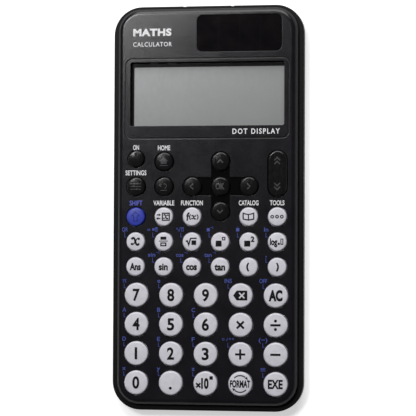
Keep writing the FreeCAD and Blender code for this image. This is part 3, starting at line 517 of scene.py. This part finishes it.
    def unknown(self, x, y, size, weight=1.0):
        """The slanted x of algebra, about x, y; size is half its width."""
        thick = [(-1.05, 0.55), (-0.8, 1.25), (-0.25, 1.2), (0, 0)]
        thin = [(1.05, 0.78), (0.6, 1.15), (0.35, 0.5), (0, 0)]
        for half, stroke in ((thick, 0.36), (thin, 0.2)):
            controls = half + [(-a, -b) for a, b in reversed(half[:-1])]
            self.sweep([(x + a * size, y + b * size) for a, b in controls], stroke * size * weight)
        for side in (1, -1):
            self.disc(x + side * size, y + side * size * 0.74, 0.22 * size * weight, 14)

    def cross(self, x, y, reach, half, turn):
        """Two equal crossed bars, turned by an angle in degrees."""
        self.polygon(cross_outline(x, y, reach, half, turn))

    def cut_polygon(self, outer, inner):
        """A filled outline with a hole."""
        flat = bmesh.new()
        edges = []
        for outline in (outer, inner):
            corners = [flat.verts.new((x, y, 0.0)) for x, y in outline]
            for i, corner in enumerate(corners):
                edges.append(flat.edges.new((corner, corners[(i + 1) % len(corners)])))
        bmesh.ops.triangle_fill(flat, use_beauty=True, use_dissolve=False, edges=edges)
        self.raise_flat(flat)

    def text(self, words, x, y, height, width=None, bold=0.04, shear=0.0, spacing=1.0):
        """Words centred on x, y by their capital height, squeezed to a width where one is given."""
        mesh = text_mesh(words, bold, shear, spacing)
        left, right = outline_of(mesh)[:2]
        scale_y = height / CAP_HEIGHT
        scale_x = width / (right - left) if width else scale_y
        flat = bmesh.new()
        flat.from_mesh(mesh)
        bpy.data.meshes.remove(mesh)
        for vertex in flat.verts:
            vertex.co.x = x + (vertex.co.x - (left + right) / 2) * scale_x
            vertex.co.y = y + (vertex.co.y - CAP_LOW - CAP_HEIGHT / 2) * scale_y
            vertex.co.z = 0.0
        bmesh.ops.remove_doubles(flat, verts=flat.verts, dist=1e-4)
        self.raise_flat(flat)

    def place(self):
        """Makes the piece and fixes it to its body; underneath, it is turned to face down."""
        data = bpy.data.meshes.new(self.name)
        self.mesh.to_mesh(data)
        self.mesh.free()
        data.transform(Matrix.Diagonal((MM, MM, MM, 1)))
        if self.underneath:
            data.transform(Matrix.Rotation(math.pi, 4, "Y"))
        data.transform(Matrix.Translation((self.centre.x, self.centre.y, self.level)))
        if self.on:
            surface = frame["nodes"][self.on].data
            tree = BVHTree.FromPolygons([vertex.co for vertex in surface.vertices],
                                        [face.vertices for face in surface.polygons])
            for vertex in data.vertices:
                above = Vector((vertex.co.x, vertex.co.y, self.level + MM))
                found = tree.ray_cast(above, Vector((0, 0, -1)))[0]
                vertex.co.z += found.z - self.level
        data.materials.append(self.look)
        piece = bpy.data.objects.new(self.name, data)
        bpy.context.collection.objects.link(piece)
        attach(piece, self.body)


def middle_of(node):
    """Middle of a node in plan, and its top."""
    low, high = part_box(node)
    return ((low.x + high.x) / 2, (low.y + high.y) / 2), high.z


# ---------------------------------------------------------------------------
# Legends on the keys, in millimetres about the middle of each key
# ---------------------------------------------------------------------------
def words(label, height, width=None, bold=0.05, y=0.0):
    """A legend of words alone."""
    return lambda art: art.text(label, 0, y, height, width, bold)


def draw_unknown(art):
    art.unknown(0, 0.1, 1.4, 1.6)


def draw_fraction(art):
    art.box(0, 1.4, 2.4, 1.25)
    art.box(0, 0.25, 3.6, 0.34)
    art.frame(0, -1.05, 2.5, 1.55, 0.5)


def draw_root(art):
    art.line([(-2.35, 0.1), (-1.75, 0.4), (-1.15, -1.2), (-0.4, 1.35), (2.05, 1.35)], 0.56)
    art.box(0.9, -0.35, 1.85, 1.85)


def draw_power_of(art):
    art.box(-0.5, -0.7, 2.4, 2.35)
    art.frame(1.5, 1.25, 1.4, 1.4, 0.42)


def draw_square(art):
    art.box(-0.45, -0.7, 2.4, 2.35)
    art.text("2", 1.7, 1.05, 1.95, bold=0.05)


def draw_logarithm(art):
    art.text("log", -1.35, 0.05, 2.4, 3.0, bold=0.048)
    art.box(0.7, -0.75, 0.85, 0.85)
    art.frame(1.95, 0.1, 1.15, 2.4, 0.36)


def bracket(side):
    """A round bracket, the left one for 1 and the right one for -1."""
    middle = 90 + 90 * side
    return lambda art: art.arc(2.15 * side, 0, 2.6, middle - 40, middle + 40, 0.66)


def draw_variable(art):
    art.frame(0.95, 0.0, 3.3, 3.3, 0.5)
    art.unknown(0.95, 0.0, 0.82, 1.6)
    for side in (1, -1):
        y = 0.72 * side
        art.box(-2.05, y, 1.5, 0.44)
        tip = -2.0 + 0.95 * side
        art.polygon([(tip - 0.85 * side, y - 0.6), (tip - 0.85 * side, y + 0.6), (tip, y)][::side])


def draw_function(art):
    art.text("f", -1.5, 0.05, 2.9, 1.35, bold=0.05, shear=0.12)
    art.unknown(0.85, -0.25, 0.72, 1.9)
    for side in (1, -1):
        middle = 90 - 90 * side
        art.arc(0.85 + 0.35 * side, -0.15, 1.35, middle - 50, middle + 50, 0.46)


def draw_catalog(art):
    for side in (-1, 1):
        page = [(0.0, -1.35), (2.1 * side, -0.95), (2.1 * side, 1.4), (1.1 * side, 1.05), (0.0, 0.85)]
        art.line(page, 0.48, closed=True)


def draw_tools(art):
    for x in (-1.9, 0.0, 1.9):
        art.ring(x, 0, 0.52, 0.42)


def draw_delete(art):
    outer = [(-2.9, 0.0), (-1.5, 1.95), (2.75, 1.95), (2.75, -1.95), (-1.5, -1.95)]
    art.cut_polygon(outer, cross_outline(0.55, 0, 1.5, 0.28, 45))


def draw_multiply(art):
    art.cross(0, 0, 2.0, 0.42, 45)


def draw_plus(art):
    art.cross(0, 0, 2.05, 0.43, 0)


def draw_minus(art):
    art.box(0, 0, 4.1, 0.88)


def draw_divide(art):
    art.box(0, 0, 4.1, 0.88)
    art.disc(0, 1.65, 0.6)
    art.disc(0, -1.65, 0.6)


def draw_point(art):
    art.disc(0, -2.05, 0.58)


def draw_exponent(art):
    art.cross(-2.75, -0.75, 1.2, 0.36, 45)
    art.text("10", -0.1, 0.0, 3.7, 3.0, bold=0.055)
    art.box(2.4, 2.2, 1.35, 1.35)


def draw_format(art):
    art.text("FORMAT", 0, 0, 2.6, 8.2, bold=0.045)
    for side in (1, -1):
        start, end = (136, 52) if side == 1 else (-44, -128)
        art.arc(0, 0, 3.3, start, end, 0.46)
        tip = Vector((2.6 * side, 2.1 * side))
        shape = [Vector((0.5, -0.55)), Vector((0.1, 0.8)), Vector((-0.8, 0.1))]
        art.polygon([tuple(tip + point * side) for point in shape])


KEY_ART = {
    "unknown": draw_unknown,
    "fraction": draw_fraction,
    "root": draw_root,
    "power_of": draw_power_of,
    "square": draw_square,
    "logarithm": draw_logarithm,
    "answer": words("Ans", 2.6, 4.5, 0.048),
    "sine": words("sin", 2.6, 3.7, 0.042),
    "cosine": words("cos", 2.6, 4.4, 0.048, y=0.1),
    "tangent": words("tan", 2.6, 4.3, 0.048),
    "left_bracket": bracket(1),
    "right_bracket": bracket(-1),
    "variable": draw_variable,
    "function": draw_function,
    "catalog": draw_catalog,
    "tools": draw_tools,
    "delete": draw_delete,
    "clear": words("AC", 3.8, 5.5, 0.06),
    "multiply": draw_multiply,
    "divide": draw_divide,
    "plus": draw_plus,
    "minus": draw_minus,
    "point": draw_point,
    "exponent": draw_exponent,
    "format": draw_format,
    "execute": words("EXE", 3.3, 5.9, 0.04),
}
DIGIT_HEIGHT = 4.45
DIGIT_WIDTH = 2.85
for digit in "0123456789":
    KEY_ART[digit] = words(digit, DIGIT_HEIGHT, None if digit == "1" else DIGIT_WIDTH, 0.032)


for short, draw in KEY_ART.items():
    key = f"key_{short}"
    centre, top = middle_of(key)
    art = Artwork(f"legend_{short}", centre, top, BLACK_INK, BODIES[key], on=key)
    draw(art)
    art.place()

# ---------------------------------------------------------------------------
# Marks on the dark and blue keys
# ---------------------------------------------------------------------------
def draw_power(art):
    half, low, top = 0.5, 1.35, 2.55
    slot = [(half, low), (half, top), (-half, top), (-half, low)]
    for step in range(1, 8):
        angle = math.radians(180 + 180 * step / 8)
        slot.append((half * math.cos(angle), low + half * math.sin(angle)))
    art.polygon(slot)


def draw_home(art):
    house = [(-1.85, 0.1), (-1.2, 0.1), (-1.2, -0.95), (1.2, -0.95), (1.2, 0.1), (1.85, 0.1), (0, 1.75)]
    art.polygon(house)
    art.box(0, -1.6, 3.1, 0.3)


def draw_settings(art):
    for y, knob in ((1.1, 0.8), (0.0, -0.8), (-1.1, 0.5)):
        art.box(0, y, 4.2, 0.3)
        art.disc(knob, y + 0.12, 0.36)


def draw_back(art):
    art.arc(0.3, 0.15, 0.85, -90, 110, 0.3)
    art.line([(-0.9, 1.05), (-1.75, 0.45), (-0.9, -0.2)], 0.3)
    art.box(0, -1.55, 2.7, 0.3)


def chevron(art, y, turn, reach=1.15, stroke=0.5):
    """An arrow head about 0, y, pointing up and then turned by an angle in degrees."""
    rotation = Matrix.Rotation(math.radians(turn), 2)
    points = [Vector((-reach, -reach / 2)), Vector((0, reach / 2)), Vector((reach, -reach / 2))]
    turned = [rotation @ point for point in points]
    art.line([(point.x, point.y + y) for point in turned], stroke)


def draw_page(art):
    inner, step = 4.3, 1.5
    for side in (1, -1):
        for place in (inner, inner + step):
            chevron(art, side * place, 0 if side == 1 else 180)


def draw_shift(art):
    outline = [(0, 1.95), (1.6, 0.35), (0.7, 0.35), (0.7, -1.75)]
    outline += [(-0.7, -1.75), (-0.7, 0.35), (-1.6, 0.35)]
    art.line(outline, 0.3, closed=True)


# painted highlight: the marks on the dark keys are grey, standing in for the light that their edges catch;
# the marks themselves are dark
DARK_KEY_MARK_PAINTED_HIGHLIGHT = key_plastic("dark_mark_grey", (0.036, 0.036, 0.040, 1), (0.060, 0.059, 0.064, 1), 0.25)
MARK_HEIGHT = 0.04 * MM      # how far the marks stand above a key
RAISED_ART = {
    "power": draw_power,
    "home": draw_home,
    "settings": draw_settings,
    "back": draw_back,
    "up": lambda art: chevron(art, 0, 0),
    "left": lambda art: chevron(art, 0, 90),
    "down": lambda art: chevron(art, 0, 180),
    "right": lambda art: chevron(art, 0, 270),
    "ok": words("OK", 2.3, 3.8, 0.05),
    "page": draw_page,
    "shift": draw_shift,
}
for short, draw in RAISED_ART.items():
    key = f"key_{short}"
    centre, top = middle_of(key)
    look = {"shift": SHIFT_INK, "power": BLACK_INK}.get(short, DARK_KEY_MARK_PAINTED_HIGHLIGHT)
    art = Artwork(f"mark_{short}", centre, top, look, BODIES[key], up=MARK_HEIGHT, on=key)
    draw(art)
    art.place()

# ---------------------------------------------------------------------------
# Labels printed on the face, placed in millimetres from the keys that they belong to
# ---------------------------------------------------------------------------
CASE = BODIES["front_shell"]
face_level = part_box("front_shell")[1].z
FLANGE_WIDTH = 0.75          # flange beyond a key's cap, under the face
LABEL_GAP = 1.8              # top of a small key to the middle of its label
POWER_LABEL_GAP = 1.3
LABEL_HEIGHT = 1.85
LABEL_SHIFT = -0.1
LABEL_BOLD = 0.018


def key_place(short):
    """Middle of a key in millimetres."""
    (x, y), top = middle_of(f"key_{short}")
    return x / MM, y / MM


def key_radius(short):
    """Radius of a round key's cap in millimetres: its box less the flange."""
    low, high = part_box(f"key_{short}")
    return (high.x - low.x) / 2 / MM - FLANGE_WIDTH


# each label's words and width
WHITE_LABELS = {
    "power": ("ON", 2.4),
    "home": ("HOME", 5.0),
    "settings": ("SETTINGS", 8.5),
    "variable": ("VARIABLE", 8.5),
    "function": ("FUNCTION", 8.8),
    "catalog": ("CATALOG", 7.9),
    "tools": ("TOOLS", 5.8),
}
labels = Artwork("white_labels", (0, 0), face_level, WHITE_INK, CASE)
for short, (label, width) in WHITE_LABELS.items():
    x, y = key_place(short)
    gap = POWER_LABEL_GAP if short == "power" else LABEL_GAP
    labels.text(label, x + LABEL_SHIFT, y + key_radius(short) + gap, LABEL_HEIGHT, width, bold=LABEL_BOLD)
labels.place()
x, y = key_place("shift")
shift_label = Artwork("shift_label", (0, 0), face_level, LABEL_BLUE_INK, CASE)
shift_label.text("SHIFT", x, y + key_radius("shift") + LABEL_GAP, LABEL_HEIGHT, 5.2, bold=LABEL_BOLD)
shift_label.place()

display_low, display_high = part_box("display_window")
TITLE_X, TITLE_Y = -22.2, 70.2
names = Artwork("generic_titles", (0, 0), face_level, WHITE_INK, CASE)
names.text("MATHS", TITLE_X, TITLE_Y, 2.6, 15.6, bold=0.05, spacing=1.1)
names.text("CALCULATOR", TITLE_X + 0.1, TITLE_Y - 4.8, 1.7, 15.8, bold=0.01, spacing=1.15)
display_x, display_y = display_high.x / MM - 12.4, display_low.y / MM - 1.15
names.text("DOT DISPLAY", display_x, display_y, 2.0, 19.0, bold=0.02, spacing=1.3)
names.place()


def tick(art, x, y, drop):
    """The small corner that leads from a second legend to its key."""
    art.line([(x, y), (x, y - drop), (x + 0.75, y - drop)], 0.17)


SECOND_HEIGHT = 1.6
SECOND_BOLD = 0.012
LARGE_KEY_RADIUS = 4.2       # between the small keys' radius and the large keys'
# each second legend's words and width
SECOND_WORDS = {
    "unknown": ("QR", 2.4),
    "logarithm": ("ln", 1.7),
    "right_bracket": (",", 0.45),
    "7": ("\u03c0", 1.6),
    "8": ("e", 1.2),
    "delete": ("INS", 2.9),
    "clear": ("OFF", 3.1),
    "4": ("A", 1.5),
    "5": ("B", 1.3),
    "6": ("C", 1.4),
    "1": ("D", 1.4),
    "2": ("E", 1.2),
    "3": ("F", 1.2),
    "minus": ("(\u2212)", 3.4),
    "0": ("x", 1.4),
    "point": ("y", 1.4),
    "exponent": ("z", 1.3),
}
INVERSES = {"sine": "sin", "cosine": "cos", "tangent": "tan"}
second = Artwork("shift_labels", (0, 0), face_level, BLUE_INK, CASE)


def second_place(short):
    """Middle of a key's second legend, up and to the left of it, and its tick's top and drop."""
    x, y = key_place(short)
    radius = key_radius(short)
    if radius < LARGE_KEY_RADIUS:
        return x - 4.45, y + radius + 1.2, y + radius - 0.1, 1.75
    return x - 5.05, y + radius + 0.95, y + radius - 0.35, 1.65


def minus_one(dash_x, digit_x, y):
    """A raised -1."""
    second.box(dash_x, y, 0.65, 0.16)
    second.text("1", digit_x, y, 0.95, bold=SECOND_BOLD)


for short, (label, width) in SECOND_WORDS.items():
    x, y, start, drop = second_place(short)
    second.text(label, x, y, SECOND_HEIGHT, width, bold=SECOND_BOLD)
    tick(second, x - 0.1, start, drop)
for short, label in INVERSES.items():
    x, y, start, drop = second_place(short)
    second.text(label, x - 0.5, y - 0.1, SECOND_HEIGHT, 3.0, bold=SECOND_BOLD)
    minus_one(x + 1.75, x + 2.45, y + 0.75)
    tick(second, x - 0.1, start - 0.1, drop)
x, y, start, drop = second_place("fraction")
second.box(x - 1.7, y + 0.12, 1.2, 0.22)
second.box(x - 1.7, y - 0.32, 1.2, 0.22)
second.box(x + 0.2, y, 0.95, 0.95)
second.box(x + 1.4, y, 1.3, 0.16)
second.box(x + 1.4, y + 0.55, 0.9, 0.6)
second.frame(x + 1.4, y - 0.55, 0.9, 0.62, 0.15)
tick(second, x - 0.1, start, drop)
x, y, start, drop = second_place("root")
second.text("x", x - 1.6, y + 0.5, 1.0, 0.8, bold=SECOND_BOLD)
second.line([(x - 1.25, y - 0.05), (x - 0.8, y - 0.8), (x - 0.35, y + 0.75), (x + 1.2, y + 0.75)], 0.17)
second.frame(x + 0.55, y - 0.15, 1.0, 1.15, 0.18)
tick(second, x - 0.1, start, drop)
x, y, start, drop = second_place("power_of")
second.box(x - 0.4, y - 0.1, 1.25, 1.25)
minus_one(x + 0.75, x + 1.4, y + 0.75)
tick(second, x - 0.1, start, drop)
x, y, start, drop = second_place("square")
second.box(x, y - 0.1, 1.3, 1.3)
second.disc(x, y + 0.95, 0.17, 12)
tick(second, x - 0.1, start, drop)
x, y, start, drop = second_place("plus")
second.ring(x - 1.9, y + 0.1, 0.42, 0.16, 16)
second.line([(x - 0.65, y - 0.5), (x - 0.15, y + 0.6)], 0.17)
for mark in (0.55, 0.95, 1.75, 2.15):
    second.box(x + mark, y + 0.3, 0.18, 0.7)
tick(second, x - 0.1, start, drop)
x, y, start, drop = second_place("execute")
for rise in (0.55, 0.05, -0.45):
    second.box(x, y + rise - 0.1, 1.9, 0.2)
tick(second, x - 0.1, start - 0.1, drop)
second.place()

# ---------------------------------------------------------------------------
# Display: black band on the glass, widest at the left and top edges
# ---------------------------------------------------------------------------
glass_low, glass_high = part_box("lcd_panel")


def rounded_outline(left, low, right, top, radius, steps=5):
    """A rectangle's outline with round corners, anticlockwise."""
    points = []
    for x, y, start in ((right - radius, low + radius, -90), (right - radius, top - radius, 0),
                        (left + radius, top - radius, 90), (left + radius, low + radius, 180)):
        for i in range(steps + 1):
            angle = math.radians(start + 90 * i / steps)
            points.append((x + radius * math.cos(angle), y + radius * math.sin(angle)))
    return points


left, low, right, top = (value / MM for value in (glass_low.x, glass_low.y, glass_high.x, glass_high.y))
MASK_THICKNESS = 0.03 * MM
MASK_INSET = 0.1
# inner edge of the black band, in millimetres in from the glass's left, bottom, right and top edges: widest
# at the left and top
MASK_LEFT, MASK_LOW, MASK_RIGHT, MASK_TOP = 1.8, 0.35, 0.45, 1.4
mask = Artwork("display_mask", (0, 0), glass_high.z, MASK, CASE, up=MASK_THICKNESS, down=0.0)
mask.cut_polygon(
    rounded_outline(left + MASK_INSET, low + MASK_INSET, right - MASK_INSET, top - MASK_INSET, 0.3),
    rounded_outline(left + MASK_LEFT, low + MASK_LOW, right - MASK_RIGHT, top - MASK_TOP, 0.6))
mask.place()

# ---------------------------------------------------------------------------
# Back: moulded ridges on the battery cover and a printed box of generic text
# ---------------------------------------------------------------------------
GRIP_SHIFT = 4.0 * MM        # towards the outside, clear of the cover's screw
GRIP_HEIGHT = 0.12 * MM
GRIP_RIDGES, GRIP_PITCH = 7, 1.2
RATING_Y = -12.0 * MM
RATING_BARS, BAR_PITCH = 12, 2.0
cover_x, cover_y = middle_of("battery_cover")[0]
grip = Artwork("battery_cover_grip", (cover_x - GRIP_SHIFT, cover_y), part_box("battery_cover")[0].z, REAR,
               BODIES["battery_cover"], up=GRIP_HEIGHT, underneath=True)
for step in range(GRIP_RIDGES):
    grip.box(GRIP_PITCH * (step - (GRIP_RIDGES - 1) / 2), 0, 0.5, 9.0)
grip.place()
rating = Artwork("rating_print", (0, RATING_Y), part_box("rear_shell")[0].z, WHITE_INK, CASE, underneath=True)
rating.frame(0, 0, 34.0, 15.0, 0.22)
rating.text("SCIENTIFIC CALCULATOR", 0, 4.2, 2.0, 27.0, bold=0.01)
rating.text("SOLAR CELL + BUTTON CELL 1.5 V", 0, 0.4, 1.5, 27.0, bold=0.0)
for number in range(RATING_BARS):
    rating.box(BAR_PITCH * (number - (RATING_BARS - 1) / 2), -3.9, 0.9 if number % 3 else 1.4, 2.4)
rating.place()

# ---------------------------------------------------------------------------
# Camera and light
# ---------------------------------------------------------------------------
# the eye point, view direction and up direction that put the keys where the photo has them
eye = Vector((0.12206, -0.02402, 0.7518))
forward = Vector((-0.161293, 0.031583, -0.986401))
upward = Vector((0.001020, 0.999493, 0.031835))
rightward = forward.cross(upward)
camera_data = bpy.data.cameras.new("photo_camera")
camera_data.lens = 163.7
camera_data.sensor_width = 36.0
camera_data.clip_end = 20.0
camera = bpy.data.objects.new("photo_camera", camera_data)
bpy.context.collection.objects.link(camera)
turn = Matrix((rightward, upward, -forward)).transposed()
camera.matrix_world = Matrix.Translation(eye) @ turn.to_4x4()
bpy.context.scene.camera = camera


def area_light(name, place, target, size, power):
    """A soft square light at a place, aimed at a target."""
    data = bpy.data.lights.new(name, "AREA")
    data.size = size
    data.energy = power
    lamp = bpy.data.objects.new(name, data)
    lamp.location = place
    lamp.rotation_euler = (Vector(target) - Vector(place)).to_track_quat("-Z", "Y").to_euler()
    bpy.context.collection.objects.link(lamp)


area_light("key_light", (-0.275, 0.30, 0.80), (-0.02, 0.03, 0.0), 0.20, 3.0)
area_light("top_light", (0.0, 1.25, 0.95), (0, 0, 0), 1.2, 21.0)
world = bpy.data.worlds.new("studio")
world.use_nodes = True
world.node_tree.nodes["Background"].inputs["Color"].default_value = (1, 1, 1, 1)
world.node_tree.nodes["Background"].inputs["Strength"].default_value = 0.06
bpy.context.scene.world = world
bpy.context.scene.view_settings.view_transform = "Standard"

floor_mesh = bpy.data.meshes.new("floor")
FLOOR_REACH = 3
floor_corners = [(x * FLOOR_REACH, y * FLOOR_REACH, 0) for x, y in ((-1, -1), (1, -1), (1, 1), (-1, 1))]
floor_mesh.from_pydata(floor_corners, [], [(0, 1, 2, 3)])
floor = bpy.data.objects.new("floor", floor_mesh)
bpy.context.collection.objects.link(floor)
floor_look = Nodes("floor_card")
fibres = floor_look.noise(1.5, 4.0)
card = floor_look.mix(floor_look.level(fibres, 0.0, 1.0), (0.86, 0.86, 0.86, 1), (0.9, 0.9, 0.9, 1))
floor_mesh.materials.append(
    floor_look.finish(card, 0.8, Emission_Color=(1, 1, 1, 1), Emission_Strength=0.55))
